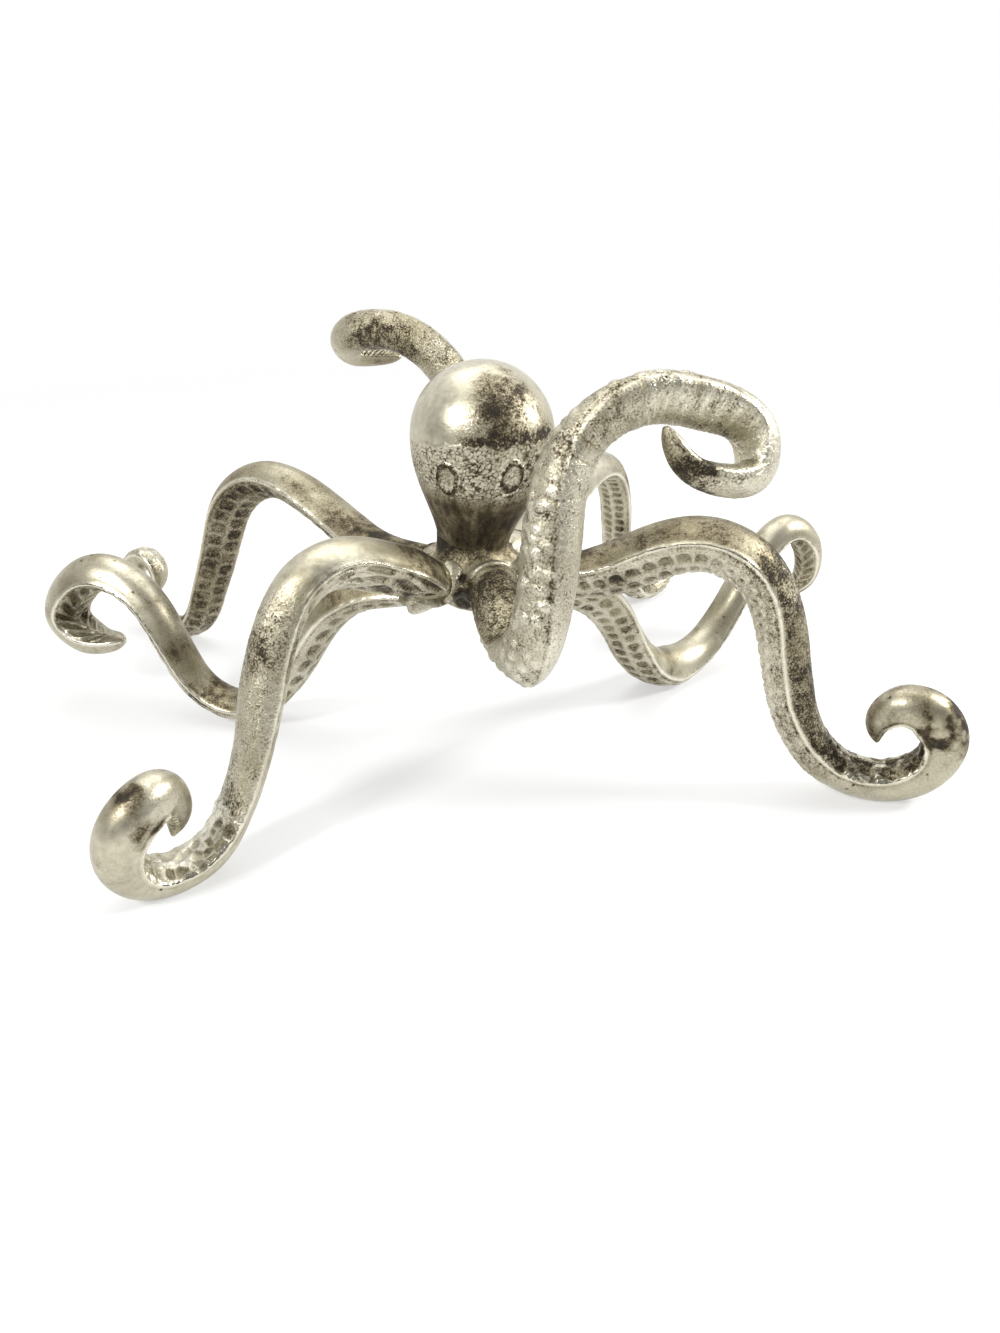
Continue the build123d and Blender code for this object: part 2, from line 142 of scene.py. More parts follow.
ARM_ROWS["back"] = (
    (0, 0, 0, 0.88, 1.2, 0.3, 0),
    (0.474, -0.055, 0.592, 0.97, 1.2, 0.3, 0),
    (0.646, -0.058, 0.717, 0.88, 1.1, 0.3, 0.11),
    (0.717, -0.018, 0.857, 0.82, 1.08, 0.3, 0.22),
    (0.779, 0.077, 0.948, 0.8, 1.05, 0.3, 0.33),
    (0.833, 0.190, 0.989, 0.8, 1.05, 0.3, 0.42),
    (0.903, 0.318, 0.984, 0.8, 1.1, 0.3, 0.44),
    (0.989, 0.377, 0.951, 0.75, 1.1, 0.3, 0.44),
    (1.055, 0.340, 0.911, 0.66, 1.1, 0.3, 0.44),
    (1.040, 0.235, 0.902, 0.49, 1, 0.35, 0.44),
    (0.985, 0.155, 0.909, 0.25, 1, 0.5, 0.44),
)
ARM_ROWS["back_right"] = (
    (0, 0, 0, 0.88, 1.2, 0.3, 0),
    (0.299, 0.018, 0.921, 0.96, 1.2, 0.3, 0),
    (0.400, 0.023, 0.965, 0.92, 1.15, 0.3, 0),
    (0.495, 0.026, 0.998, 0.89, 1.1, 0.3, 0),
    (0.609, 0.020, 0.962, 0.82, 1.05, 0.35, 0),
    (0.686, 0.020, 0.753, 0.77, 1, 0.4, 0),
    (0.743, 0.033, 0.440, 0.74, 1, 0.4, 0),
    (0.819, 0.030, 0.145, 0.72, 1, 0.4, 0),
    (0.911, 0.020, 0.021, 0.71, 1, 0.4, 0),
    (0.985, 0.004, 0.067, 0.67, 1, 0.5, 0),
    (1.006, 0.008, 0.187, 0.62, 1, 0.5, 0),
    (0.971, 0.025, 0.266, 0.52, 1, 0.5, 0),
    (0.936, 0.033, 0.211, 0.28, 1, 0.6, 0),
)
ARM_ROWS["right"] = (
    (0, 0, 0, 0.88, 1.2, 0.3, 0.58),
    (0.262, 0.003, 0.843, 0.86, 1.15, 0.3, 0.6),
    (0.356, 0.042, 0.529, 0.78, 1.12, 0.3, 0.5),
    (0.447, 0.094, 0.205, 0.9, 1.25, 0.35, 0.32),
    (0.541, 0.144, 0.047, 0.98, 1.4, 0.45, 0.28),
    (0.652, 0.178, 0.098, 0.88, 1.12, 0.4, 0.3),
    (0.744, 0.201, 0.352, 0.82, 1, 0.4, 0.32),
    (0.824, 0.214, 0.660, 0.82, 1, 0.4, 0.3),
    (0.909, 0.221, 0.828, 0.82, 1.1, 0.35, 0.3),
    (0.985, 0.219, 0.664, 0.75, 1.1, 0.35, 0.4),
    (0.978, 0.213, 0.416, 0.57, 1, 0.4, 0.45),
    (0.921, 0.206, 0.335, 0.28, 1, 0.5, 0.4),
)
ARM_ROWS["front_right"] = (
    (0, 0, 0, 0.88, 1.2, 0.3, 0.5),
    (0.254, 0.012, 0.848, 1.02, 1.35, 0.3, 0.52),
    (0.355, 0.010, 0.944, 1.06, 1.4, 0.3, 0.53),
    (0.452, 0.012, 0.998, 1.04, 1.4, 0.3, 0.5),
    (0.543, 0.015, 0.948, 1.02, 1.3, 0.42, 0.42),
    (0.604, 0.016, 0.813, 0.98, 1.12, 0.58, 0.28),
    (0.640, 0.015, 0.613, 0.96, 1, 0.78, 0.07),
    (0.668, 0.016, 0.392, 0.95, 0.88, 0.85, 0),
    (0.715, 0.022, 0.190, 0.95, 0.66, 0.92, 0.03),
    (0.791, 0.032, 0.045, 0.96, 0.5, 1, 0.1),
    (0.890, 0.044, 0.000, 0.96, 0.42, 1.1, 0.18),
    (0.966, 0.048, 0.070, 0.96, 0.38, 1.2, 0.25),
    (0.994, 0.046, 0.224, 0.93, 0.35, 1.3, 0.3),
    (0.956, 0.038, 0.350, 0.9, 0.35, 1.3, 0.33),
    (0.897, 0.038, 0.378, 0.8, 0.35, 1.2, 0.31),
    (0.854, 0.041, 0.300, 0.57, 0.4, 1.1, 0.28),
    (0.862, 0.053, 0.171, 0.2, 0.5, 1, 0.22),
)


def smooth(share):
    """An even step from 0 to 1: three squares less two cubes of the share."""
    share = np.clip(share, 0.0, 1.0)
    return share * share * (3 - 2 * share)


def span(where, first, last):
    """1 between two rows, with a smooth fall to 0 on each side."""
    return smooth((where - first) / ROW_FADE + 0.5) * smooth((last - where) / ROW_FADE + 0.5)


def walked(points):
    """How far along a line of points each one is."""
    return np.concatenate([[0.0], np.cumsum(np.linalg.norm(np.diff(points, axis=0), axis=1))])


def unit(vectors):
    """Vectors over their own lengths."""
    return vectors / np.linalg.norm(vectors, axis=-1, keepdims=True)


def natural_spline(marks, rows, at):
    """A cubic through rows at their marks, with no bend at either end: the bends solve the three
    banded equations that make the slopes meet, and each stretch blends its two rows and bends."""
    gaps = np.diff(marks)
    inner = np.arange(1, len(marks) - 1)
    system = np.eye(len(marks))
    system[inner, inner - 1] = gaps[:-1]
    system[inner, inner] = 2 * (gaps[:-1] + gaps[1:])
    system[inner, inner + 1] = gaps[1:]
    turns = np.zeros_like(rows)
    turns[1:-1] = 6 * np.diff(np.diff(rows, axis=0) / gaps[:, None], axis=0)
    bends = np.linalg.solve(system, turns)
    stretch = np.clip(np.searchsorted(marks, at, side="right") - 1, 0, len(gaps) - 1)
    gap = gaps[stretch][:, None]
    before = (marks[stretch + 1] - at)[:, None]
    after = (at - marks[stretch])[:, None]
    return ((bends[stretch] * before ** 3 + bends[stretch + 1] * after ** 3) / (6 * gap)
            + (rows[stretch] / gap - bends[stretch] * gap / 6) * before
            + (rows[stretch + 1] / gap - bends[stretch + 1] * gap / 6) * after)


def bell(offset):
    """A bell curve, 1 at no offset: e to the minus its square."""
    return np.exp(-offset ** 2)


SCATTER_STEPS = (127.1, 311.7, 74.7)  # radians for each cell along x, y and z, and for each seed
SEED_STEP = 19.19
SCATTER_GAIN = 43758.5453


def scatter(cells, seed):
    """A share from 0 to 1 for each whole-number cell: the fraction of a large sine of it."""
    mix = cells @ np.array(SCATTER_STEPS) + SEED_STEP * seed
    return np.mod(np.sin(mix) * SCATTER_GAIN, 1.0)


def lumps(points, size, seed):
    """Soft noise from -1 to 1: scatter at the corners of cells of that size, blended smoothly."""
    spot = points / size
    cell = np.floor(spot)
    share = smooth(spot - cell)
    total = np.zeros(points.shape[:-1])
    for corner in np.ndindex(2, 2, 2):
        weight = np.prod(np.where(corner, share, 1 - share), axis=-1)
        total += weight * scatter(cell + corner, seed)
    return 2 * total - 1


def grain_noise(points, size, seed):
    """Rough noise: lumps, and half as much at half the size, and a quarter at a quarter."""
    return (lumps(points, size, seed) + lumps(points, size / 2, seed + 1) / 2
            + lumps(points, size / 4, seed + 2) / 4) / 1.5


def dimples(points, size, seed):
    """Distance from the nearest scattered hammer blow, over the blows' spacing; how near the next
    blow is, 0 on the crease between two; and a number of the blow's own, 0 to 1."""
    spot = points / size
    cell = np.floor(spot)
    near = np.full(points.shape[:-1], np.inf)
    second = near.copy()
    own = near.copy()
    for step in np.ndindex(3, 3, 3):
        at = cell + np.array(step) - 1
        blow = at + np.stack([scatter(at, seed + k) for k in range(3)], axis=-1)
        away = np.linalg.norm(spot - blow, axis=-1)
        second = np.minimum(second, np.maximum(near, away))
        own = np.where(away < near, scatter(at, seed + 3), own)
        near = np.minimum(near, away)
    return near, second - near, own


def mesh_piece(name, places, quads, triangles, traits):
    """A piece from places in mm and the faces over them. The traits are values per place, kept as
    attributes."""
    corners = np.concatenate([quads.ravel(), triangles.ravel()])
    starts = np.concatenate([4 * np.arange(len(quads)),
                             4 * len(quads) + 3 * np.arange(len(triangles))])
    mesh = bpy.data.meshes.new(name)
    mesh.vertices.add(len(places))
    mesh.vertices.foreach_set("co", places.ravel() * MM)
    mesh.loops.add(len(corners))
    mesh.loops.foreach_set("vertex_index", corners.astype(np.int32))
    mesh.polygons.add(len(starts))
    mesh.polygons.foreach_set("loop_start", starts.astype(np.int32))
    mesh.update(calc_edges=True)
    mesh.shade_smooth()
    for trait, values in traits.items():
        layer = mesh.attributes.new(trait, "FLOAT", "POINT")
        layer.data.foreach_set("value", values.ravel().astype(np.float32))
    piece = bpy.data.objects.new(name, mesh)
    bpy.context.scene.collection.objects.link(piece)
    return piece


def drawn_in(grid):
    """A grid's values in one list, with its first and last ring each drawn together to a mean."""
    inner = grid[1:-1].reshape(-1, *grid.shape[2:])
    return np.concatenate([[grid[0].mean(axis=0)], inner, [grid[-1].mean(axis=0)]])


def tube_mesh(name, points, **traits):
    """A closed mesh over a grid of points in mm: rings along the first index, closed round the
    second, with a fan of triangles at either end. The traits are held between 0 and 1."""
    rings, round_it = points.shape[:2]
    ring = np.arange(round_it)
    after = np.roll(ring, -1)
    base = 1 + round_it * np.arange(rings - 3)[:, None]
    quads = np.stack([base + ring, base + round_it + ring, base + round_it + after, base + after],
                     axis=-1).reshape(-1, 4)
    last = 1 + round_it * (rings - 3)
    tip = np.full(round_it, last + round_it)
    fans = np.vstack([np.stack([np.zeros(round_it, int), 1 + ring, 1 + after], axis=-1),
                      np.stack([tip, last + after, last + ring], axis=-1)])
    return mesh_piece(name, drawn_in(points), quads, fans,
                      {trait: drawn_in(np.clip(values, 0, 1)) for trait, values in traits.items()})


def outward(points):
    """Unit normals of a grid closed round its second index: the slope along it, crossed with the
    slope round it."""
    along = np.gradient(points, axis=0)
    around = np.roll(points, -1, axis=1) - np.roll(points, 1, axis=1)
    normal = np.cross(along, around)
    return normal / (np.linalg.norm(normal, axis=-1, keepdims=True) + 1e-9)


def arm_path(name):
    """Stations evenly spaced along the spline through an arm's rows: points about the hub's axis,
    directions along and across the arm (across is carried on by taking off its part along the
    path, then rolled), the section's values, places in the table of rows, and the arm's length."""
    bearing, reach, rise, root_share, lift_share, foot_share = ARM_PLACES[name]
    turn = np.radians(bearing)
    out = np.array([np.cos(turn), np.sin(turn), 0.0])
    aside = np.array([-np.sin(turn), np.cos(turn), 0.0])
    table = np.array(ARM_ROWS[name], float)
    foot = ARM_WIDTH * foot_share
    points = reach * (table[:, :1] * out + table[:, 1:2] * aside)
    points[:, 2] = foot + (rise - foot) * table[:, 2]
    points[0] = out * ARM_WIDTH * root_share
    points[0, 2] = HUB_MIDDLE + ARM_WIDTH * lift_share
    marks = walked(points)
    fine = np.linspace(0.0, marks[-1], 4 * STATIONS)
    line = natural_spline(marks, points, fine)
    length = walked(line)
    at = np.interp(np.linspace(0.0, length[-1], STATIONS), length, fine)
    centre = natural_spline(marks, points, at)
    along = unit(np.gradient(centre, axis=0))
    side = -aside
    sides = np.empty_like(along)
    for index, direction in enumerate(along):
        side = unit(side - direction * (side @ direction))
        sides[index] = side
    straight = np.stack([np.interp(at, marks, table[:, k]) for k in (3, 4, 5, 6)], axis=1)
    weights = np.hanning(2 * ROW_BLEND + 3)[1:-1]
    padded = np.pad(straight, ((ROW_BLEND, ROW_BLEND), (0, 0)), mode="edge")
    section = np.stack([np.convolve(padded[:, k], weights / weights.sum(), mode="valid")
                        for k in range(4)], axis=1)
    roll = np.pi / 2 * section[:, 3:]
    across = sides * np.cos(roll) + np.cross(sides, along) * np.sin(roll)
    row = np.interp(at, marks, np.arange(len(table)))
    return centre, along, across, section, row, length[-1]


RIM_RISE = 0.5  # how far a rim stands up, and its width, mm
RIM_WIDTH = 0.9
GROOVE_DEPTH = 0.15  # the groove inside a belly's rim, and how far in it is, mm
GROOVE_WIDTH = 0.6
GROOVE_PLACE = 1.7


class Face:
    """Where each point of an arm's face is: in space, along the arm and across it over the arm's
    half width, and in mm from the rim; with fine noise, and a share that is 0 on the rim."""

    def __init__(self, flat, run, wide, off_rim):
        self.flat = flat
        self.run = run
        self.wide = wide
        self.off_rim = off_rim
        self.fine = grain_noise(flat, 1.5, 7)
        self.inside = smooth((off_rim - RIM_WIDTH) / 1.3)

    def unrolled(self, along, across, slant=0.0):
        """The face laid flat, with its two directions drawn out by those factors."""
        return np.stack([self.run * along + self.wide * slant, self.wide * across, 0 * self.run],
                        axis=-1)


def ovals(face, pitch, place, length, width, slant=0.0, power=2.0):
    """Distance from the middle of the nearest oval, 1 at its edge, for two rows of them on either
    side of the middle line, half a pitch apart; a higher power squares the ovals off."""
    near = np.full(face.run.shape, np.inf)
    for hand, stagger in ((-1, 0.0), (1, 0.5)):
        aside = face.wide - hand * place
        along = face.run + hand * slant * aside + pitch * stagger
        along = along - pitch * np.round(along / pitch)
        shape = np.abs(along / length) ** power + np.abs(aside / width) ** power
        near = np.minimum(near, shape ** (1 / power))
    return near


def pocket(near, depth, wall):
    """A sunken cell: flat inside its edge, with a raised wall just outside it."""
    return -depth * smooth((1.02 - near) / 0.38) + wall * bell((near - 1.16) / 0.13)


# Each pattern gives the relief in mm, and what it adds to the patina, the polish and the grain

def suckers(face):
    """Two staggered rows of sunken ovals."""
    near = ovals(face, pitch=0.54, place=0.40, length=0.235, width=0.34, power=2.6)
    floor = smooth((1 - near) / 0.4)
    return (face.inside * pocket(near, depth=0.95, wall=0.35),
            face.inside * (0.33 * floor - 0.06), 0.16 - 0.25 * floor, 0.15)


def cells(face):
    """Two rows of sunken cells with narrow walls, almost touching."""
    near = ovals(face, pitch=0.56, place=0.44, length=0.25, width=0.40, power=4.0)
    floor = smooth((1 - near) / 0.3)
    return (face.inside * pocket(near, depth=0.8, wall=0.3),
            face.inside * (0.19 + 0.28 * floor), -0.1, 0.2)


def leaves(face):
    """Two rows of sunken cells that slant towards the tip, like the leaflets of a fern."""
    near = ovals(face, pitch=0.46, place=0.46, length=0.19, width=0.43, slant=0.7, power=2.6)
    floor = smooth((1 - near) / 0.45)
    return (face.inside * pocket(near, depth=0.9, wall=0.35),
            face.inside * (0.28 * floor - 0.05), 0.12 - 0.22 * floor, 0.15)


def scales(face):
    """Sunken leaf-shaped cells in loose rows, drawn out along the arm, with sharp walls."""
    _, crease, _ = dimples(face.unrolled(7.5, 13.0, slant=3.0), 7.0, 73)
    floor = smooth(crease / 0.3)
    return (-1.15 * face.inside * floor, face.inside * (0.42 * floor - 0.14),
            0.15 - 0.2 * floor, 0.15)


def rings(face):
    """Two rows of raised rings round a small dimple."""
    near = ovals(face, pitch=0.50, place=0.40, length=0.23, width=0.28)
    shape = 0.9 * bell((near - 0.85) / 0.24) - 0.5 * smooth(1 - near / 0.6)
    dark = 0.42 * smooth(1 - near / 0.7) + 0.30 * smooth((near - 1.1) / 0.2) - 0.1
    return face.inside * shape, face.inside * dark, 0.2, 0.2


def beads(face):
    """Three loose rows of low, worn beads, each a little off its place."""
    near, _, _ = dimples(face.unrolled(12.0, 11.0), 4.7, 71)
    bead = smooth((0.58 - near) / 0.42) * (0.8 + 0.4 * lumps(face.flat, 6.0, 75))
    return (face.inside * 0.95 * bead + 0.12 * face.fine, 0.05 - 0.24 * bead,
            0.32 * bead + 0.05, 0.4)


def pleats(face):
    """Curved folds across the arm, sharp in their creases: a rectified sine of the run."""
    run = face.run + 0.3 * face.wide ** 2 + 0.07 * lumps(face.flat, 7.0, 17)
    fold = np.abs(np.sin(np.pi * run / 0.46))
    crease = (1 - fold) ** 2
    return (1.35 * smooth(face.off_rim / 1.8) * (fold - 0.6) + 0.08 * face.fine,
            0.45 * crease + 0.1, 0.45 * fold - 0.1, 0.15)


def scraped(face):
    """Coarse scrape marks across the arm: noise drawn out from rim to rim."""
    drawn = face.unrolled(12.0, 1.6)
    mark = grain_noise(drawn, 1.2, 81) + 0.7 * lumps(drawn, 3.2, 83)
    return 0.26 * mark + 0.1 * face.fine, -0.02 - 0.12 * mark, 0.15 + 0.25 * mark, 0.4


def hammered(face):
    """Punch blows: scattered plates at their own heights, with sharp creases between them."""
    near, crease, own = dimples(face.flat, 4.8, 23)
    plate = (own - 0.5) * smooth(crease / 0.16)
    return (plate + 1.1 * (near - 0.45) + 0.06 * face.fine,
            0.02 - 0.55 * plate, 0.2 + 1.1 * plate, 0.1)


def crumpled(face):
    """Smaller, dull plates, brown where they lie low and bright where they stand."""
    near, crease, own = dimples(face.flat, 3.9, 27)
    plate = (own - 0.5) * smooth(crease / 0.2)
    return (1.3 * plate + (near - 0.45) + 0.08 * face.fine,
            0.25 - 0.8 * plate, 1.2 * plate - 0.05, 0.2)


def grainy(face):
    """Sand-cast skin, brown in its pits."""
    return 0.15 * face.fine, 0.13 + 0.24 * lumps(face.flat, 6.0, 85), -0.05, 0.55


def coarse(face):
    """Sand-cast skin rubbed bright."""
    return 0.2 * face.fine, -0.11 + 0.18 * lumps(face.flat, 7.0, 86), 0.25, 0.5


def dark(face):
    """Sand-cast skin that kept its dark crust."""
    return 0.16 * face.fine, 0.42 + 0.16 * lumps(face.flat, 9.0, 87), -0.2, 0.6


def brushed(face):
    """Skin dulled brown, with wire-brush marks along the arm."""
    mark = lumps(face.unrolled(1.2, 9.0), 0.9, 89)
    return 0.05 * mark, 0.21 + 0.06 * mark, -0.16, -0.12


def satin(face):
    """Skin polished smooth, with a few small pits."""
    near, _, _ = dimples(face.flat, 9.0, 91)
    pit = smooth((0.10 - near) / 0.05)
    return -0.12 * pit, 0.6 * pit - 0.02, 0.02, -0.2


# What each arm's two faces carry: the pattern, the rows of its table where it starts and ends, and
# how far the pattern is drawn out along the arm
ARM_BELLIES = {
    "front": ((beads, 0, 9.2, 1), (coarse, 9.3, 12.6, 1), (grainy, 12.3, 14.5, 1)),
    "front_left": ((scales, 0, 6.6, 1), (satin, 6.9, 15, 1)),
    "left": ((suckers, 0, 7, 1.8), (leaves, 7, 13.5, 1.9)),
    "back_left": ((cells, 0, 8, 1.5), (beads, 8, 13, 1)),
    "back": ((suckers, 0, 7, 1), (pleats, 7, 9.5, 1)),
    "back_right": ((suckers, 0, 7.6, 1.1), (hammered, 7.2, 11.5, 1)),
    "right": ((suckers, 0, 6.4, 1.5), (leaves, 6.4, 10.5, 1.6)),
    "front_right": ((suckers, 0, 3.4, 1.1), (rings, 3.4, 8.8, 1.1), (satin, 8.6, 15.5, 1)),
}
ARM_BACKS = {
    "front": ((dark, 0, 2.7, 1), (coarse, 2.7, 6.2, 1), (scraped, 6, 10.4, 1),
              (coarse, 10, 13.5, 1)),
    "front_left": ((brushed, 0, 2, 1), (satin, 1.6, 4.4, 1), (grainy, 4.2, 8.2, 1),
                   (hammered, 7.9, 10.6, 1), (pleats, 10.3, 14.5, 1)),
    "left": ((brushed, 0, 7.4, 1), (satin, 7.2, 13, 1)),
    "back_left": ((brushed, 0, 9, 1), (satin, 9, 12, 1)),
    "back": ((grainy, 0, 6.4, 1), (satin, 5, 9, 1)),
    "back_right": ((satin, 0, 4, 1), (grainy, 4, 9, 1)),
    "right": ((satin, 0, 10, 1),),
    "front_right": ((brushed, 0, 4.4, 1), (dark, 4.2, 8.6, 1),
                    (crumpled, 8.2, 15.5, 1)),
}
# Where a streak crosses an arm: its row, its reach in rows and its strength, which is above 0 for
# a darker streak, mostly of patina, and below 0 for a brighter one, mostly of bright metal. On the
# front left arm the bright streak at row 3.8 is a painted highlight on the top of its arch, and
# the streak at row 0.9 darkens its root beside the hub.
ARM_STREAKS = {
    "front_left": ((12.3, 0.4, 0.9), (3.8, 0.7, -0.9), (0.9, 0.9, 0.6), (5.2, 0.4, 0.5),
                   (6.7, 1.2, -0.3), (9.4, 1.2, -0.4), (11.2, 0.8, -0.4), (14.0, 0.8, -0.3)),
    "front_right": ((12.7, 0.7, 1.6), (15.0, 1.0, 0.4), (0.6, 1.4, 0.35)),
    "front": ((12.8, 0.6, 1.1),),
    "left": ((8.3, 0.6, 0.35), (5.4, 1.0, 0.35)),
    "back_left": ((0.9, 1.1, 0.6), (2.8, 1.2, -0.2)),
    "back": ((5.4, 0.6, 0.5),),
    "right": ((8.8, 1.0, 0.15), (3.4, 0.5, 0.3), (5.6, 0.4, 0.2)),
    "back_right": ((2.2, 0.6, 0.3),),
}
# How strongly an arm's rims stand out, where that is less than fully
ARM_RIMS = {"front": 0.2, "front_left": 0.7, "back": 0.5}
# Where soot lies, from the hub's axis at table height, and how far it spreads, mm
SOOT_SPOTS = (((-4.3, -20, 91.5), 8.5), ((-26, 18, 102), 4), ((14, 10, 104), 5),
              ((3, -19, 100), 4))


def soot(points):
    """Black crust that the welding left: a noisy ball of it round each of a few places."""
    total = np.zeros(points.shape[:-1])
    for place, reach in SOOT_SPOTS:
        away = np.linalg.norm(points - np.array(place), axis=-1) / reach
        total += 0.9 * smooth(1.5 - away + 0.5 * lumps(points, 3.0, 99))
    return total


def arm_piece(name):
    """An arm's grid. Each ring is half an ellipse over the back and half a flatter one under the
    belly, about the path; then every point moves out along the normal by its pattern's relief."""
    centre, along, across, section, row, length = arm_path(name)
    step = length / (STATIONS - 1)
    from_tip = length - step * np.arange(STATIONS)
    half = ARM_WIDTH / 2 * section[:, 0] \
        * np.sqrt(1 - np.clip(1 - from_tip / TIP_LENGTH, 0, 1) ** TIP_POWER)
    angle = np.concatenate([np.linspace(0, np.pi, BACK_POINTS, endpoint=False),
                            np.linspace(np.pi, 2 * np.pi, BELLY_POINTS, endpoint=False)])
    belly = (angle > np.pi) * np.ones((STATIONS, 1))
    aside = half[:, None] * np.cos(angle)
    high = half[:, None] * np.where(belly > 0, section[:, 2:3], section[:, 1:2]) * np.sin(angle)
    normal = np.cross(across, along)
    middle = centre - normal * (half * (section[:, 1] - section[:, 2]) / 2)[:, None]
    flat = middle[:, None] + across[:, None] * aside[..., None] + normal[:, None] * high[..., None]

    run = np.cumsum(step / np.maximum(half, 3.0))[:, None] + lumps(flat, 6.0, 3) * 0.05
    wide = np.cos(angle) + lumps(flat, 7.0, 5) * 0.05
    off_rim = np.hypot(half[:, None] - np.abs(aside), high)
    size = half[:, None] / (ARM_WIDTH / 2)
    relief = 0.14 * lumps(flat, 14.0, 9)
    patina = 0.30 + 0.24 * grain_noise(flat, 12.0, 11)
    polish = 0.40 + 0.25 * lumps(flat, 16.0, 13)
    grain = np.full(flat.shape[:2], 0.35)
    where = row[:, None]
    for side, stretches in ((belly, ARM_BELLIES[name]), (1 - belly, ARM_BACKS[name])):
        for pattern, first, last, drawn in stretches:
            part = (row > first - 0.5) & (row < last + 0.5)
            face = Face(flat[part], run[part] / drawn, wide[part], off_rim[part])
            raised, browned, shined, roughened = pattern(face)
            amount = side[part] * span(where[part], first, last)
            relief[part] += amount * size[part] * raised
            patina[part] += amount * browned
            polish[part] += amount * shined
            grain[part] += amount * roughened
    # darker and brighter streaks; the bright one at row 3.8 of the front left arm is a painted
    # highlight
    for at, reach, strength in ARM_STREAKS[name]:
        streak = bell((where + 0.35 * lumps(flat, 6.0, 95) - at) / reach)
        patina += strength * streak * (0.5 + 0.8 * grain_noise(flat, 5.0, 97))
    patina += soot(flat)
    rim = ARM_RIMS.get(name, 1.0) * bell(off_rim / RIM_WIDTH)
    groove = bell((off_rim - GROOVE_PLACE) / GROOVE_WIDTH)
    nick = 1 + 0.5 * lumps(flat, 2.6, 29)
    relief += size * (RIM_RISE * rim * nick - GROOVE_DEPTH * belly * groove)
    patina = patina * (1 - 0.75 * rim) + 0.22 * belly * groove
    polish += 0.45 * rim
    grain *= 1 - 0.7 * rim

    points = flat + outward(flat) * relief[..., None]
    points[0] = centre[0]
    points[-1] = centre[-1]
    points[..., :2] += HUB_SPOT
    points[..., 2] = np.maximum(points[..., 2], 0.0)
    piece = tube_mesh(name + "_arm_cast", points, patina=patina, polish=polish, grain=grain)
    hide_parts(name + "_arm")
    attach(piece, "root")
    return piece


class Value:
    """A number on a shader socket; sums written with it add their Math nodes."""

    def __init__(self, tree, socket):
        self.tree = tree
        self.socket = socket

    def work(self, operation, *values):
        node = self.tree.nodes.new("ShaderNodeMath")
        node.operation = operation
        for spot, value in enumerate(values):
            if isinstance(value, Value):
                self.tree.links.new(value.socket, node.inputs[spot])
            else:
                node.inputs[spot].default_value = value
        return Value(self.tree, node.outputs[0])

    def __add__(self, other):
        return self.work("ADD", self, other)

    def __sub__(self, other):
        return self.work("SUBTRACT", self, other)

    def __rsub__(self, other):
        return self.work("SUBTRACT", other, self)

    def __mul__(self, other):
        return self.work("MULTIPLY", self, other)

    def held(self):
        """The number, held between 0 and 1."""
        return self.work("MINIMUM", self.work("MAXIMUM", self, 0.0), 1.0)

    __radd__ = __add__
    __rmul__ = __mul__


class Finish:
    """A node tree, with one way to add any node: its type, the settings that are set first, and
    the values or links of its sockets."""

    def __init__(self, owner):
        owner.use_nodes = True
        self.owner = owner
        self.tree = owner.node_tree
        self.tree.nodes.clear()

    def node(self, kind, settings=None, **inputs):
        node = self.tree.nodes.new(kind)
        for setting, value in (settings or {}).items():
            setattr(node, setting, value)
        for socket, value in inputs.items():
            target = node.inputs[int(socket[1:])] if socket[1:].isdigit() \
                else node.inputs[socket.replace("_", " ")]
            if isinstance(value, Value):
                self.tree.links.new(value.socket, target)
            elif isinstance(value, bpy.types.NodeSocket):
                self.tree.links.new(value, target)
            else:
                target.default_value = value
        return node

    def value(self, kind, output, settings=None, **inputs):
        """A number from one output of a new node."""
        return Value(self.tree, self.node(kind, settings, **inputs).outputs[output])

    def trait(self, name):
        """A value per point of the mesh."""
        return self.value("ShaderNodeAttribute", "Fac", {"attribute_name": name})

    def ray(self, kind):
        """1 on rays of that kind, and 0 on others."""
        return self.value("ShaderNodeLightPath", f"Is {kind} Ray")

    def noise(self, place, scale, detail, rough=0.5):
        """Noise from 0 to 1 over a place."""
        return self.value("ShaderNodeTexNoise", "Fac", Vector=place, Scale=scale, Detail=detail,
                          Roughness=rough)

    def mix(self, share, first, second):
        """Two colours, by a share."""
        node = self.node("ShaderNodeMix", {"data_type": "RGBA"}, _0=share, _6=first, _7=second)
        return node.outputs[2]


BRIGHT_METAL = (0.80, 0.765, 0.63, 1)
DULL_METAL = (0.31, 0.276, 0.180, 1)
BROWN_METAL = (0.135, 0.105, 0.055, 1)
BLACK_METAL = (0.018, 0.014, 0.009, 1)
SPECKS = 1250.0  # how many of each fit in a metre
MOTTLES = 300.0
CLOUDS = 60.0


